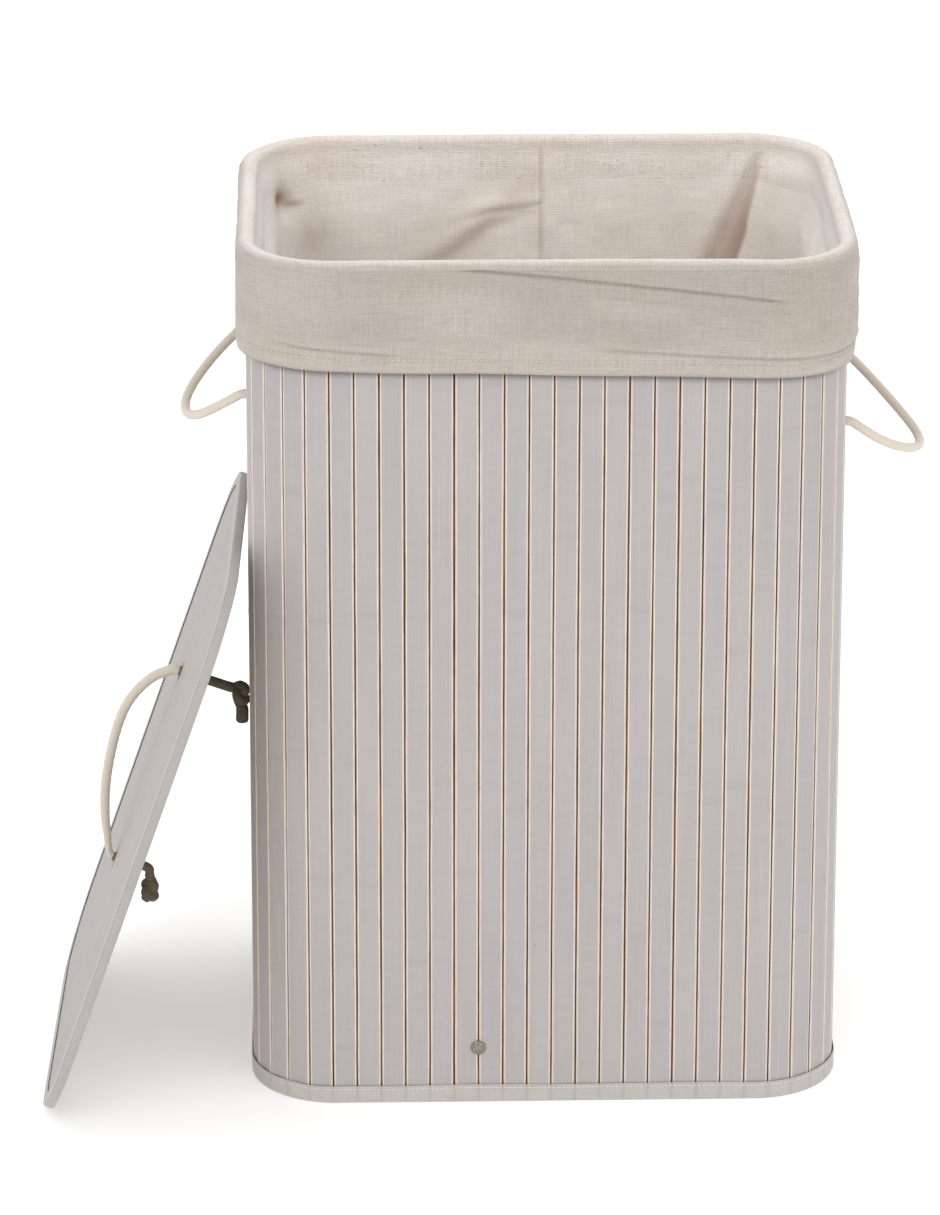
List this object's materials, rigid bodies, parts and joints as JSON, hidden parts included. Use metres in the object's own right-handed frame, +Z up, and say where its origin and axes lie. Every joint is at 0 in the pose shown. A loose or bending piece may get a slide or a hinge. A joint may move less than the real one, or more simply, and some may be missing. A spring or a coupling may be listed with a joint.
{
  "type": "laundry hamper",
  "caption": "Upright slatted laundry hamper with rounded corners, cloth liner folded over the rim, cord handles, folding base board and a loose slatted lid leaning on its side.",
  "frame": {"origin": "centre of the base board's underside, on the floor", "axes": "+Z up, +X to the right seen from the front, +Y to the back"},
  "size_m": [0.6091, 0.362, 0.604],
  "materials": {
    "slats": "white-washed bamboo, satin",
    "lid_slats": "white-washed bamboo, satin",
    "hem_tape": "woven cotton tape",
    "liner_cloth": "plain woven linen-cotton cloth",
    "handle_cord": "twisted cotton cord",
    "knot_cord": "dark olive-brown cord end",
    "board": "plain fibreboard",
    "steel_wire": "plain wire",
    "rivet_metal": "antique, domed"
  },
  "bodies": {
    "basket": {"front_slat_panel": "slats", "front_right_corner_slats": "slats", "right_slat_panel": "slats", "back_right_corner_slats": "slats", "back_slat_panel": "slats", "back_left_corner_slats": "slats", "left_slat_panel": "slats", "front_left_corner_slats": "slats", "bottom_hem_tape": "hem_tape", "top_hem_tape": "hem_tape", "rim_hoop_wire": "steel_wire", "base_hinge_tape": "hem_tape", "front_rivet": "rivet_metal", "front_rivet_washer": "rivet_metal", "left_handle_front_knot": "handle_cord", "left_handle_back_knot": "handle_cord", "right_handle_front_knot": "handle_cord", "right_handle_back_knot": "handle_cord"},
    "base": {"base_board": "board"},
    "liner": {"liner_bag": "liner_cloth", "liner_cuff": "liner_cloth"},
    "left_handle": {"left_handle_cord": "handle_cord"},
    "right_handle": {"right_handle_cord": "handle_cord"},
    "lid": {"lid_slat_panel": "lid_slats", "lid_core_board": "board", "lid_lining": "liner_cloth", "lid_edge_binding": "hem_tape", "lid_handle_upper_knot": "knot_cord", "lid_handle_lower_knot": "knot_cord"},
    "lid_handle": {"lid_handle_cord": "handle_cord"}
  },
  "joints": [
    {"name": "liner_lift_out", "type": "slide", "parent": "basket", "child": "liner", "axis": [0, 0, 1], "range_m": [0, 0.62]},
    {"name": "base_fold", "type": "hinge", "parent": "basket", "child": "base", "pos_m": [0, 0.1443, 0.005], "axis": [-1, 0, 0], "range_deg": [0, 44], "deforming": ["liner_bag"]},
    {"name": "left_handle_swing", "type": "hinge", "parent": "basket", "child": "left_handle", "pos_m": [-0.20431, 0, 0.491], "axis": [0, 1, 0], "range_deg": [0, 100]},
    {"name": "right_handle_swing", "type": "hinge", "parent": "basket", "child": "right_handle", "pos_m": [0.20438, 0, 0.472], "axis": [0, -1, 0], "range_deg": [0, 100]},
    {"name": "lid_lift_off", "type": "slide", "parent": "basket", "child": "lid", "axis": [-0.9441, 0.0222, 0.329], "range_m": [0, 0.3]},
    {"name": "lid_handle_swing", "type": "hinge", "parent": "lid", "child": "lid_handle", "pos_m": [-0.27902, -0.01917, 0.19976], "axis": [0.3289, -0.0077, 0.9443], "range_deg": [-65, 65]}
  ]
}
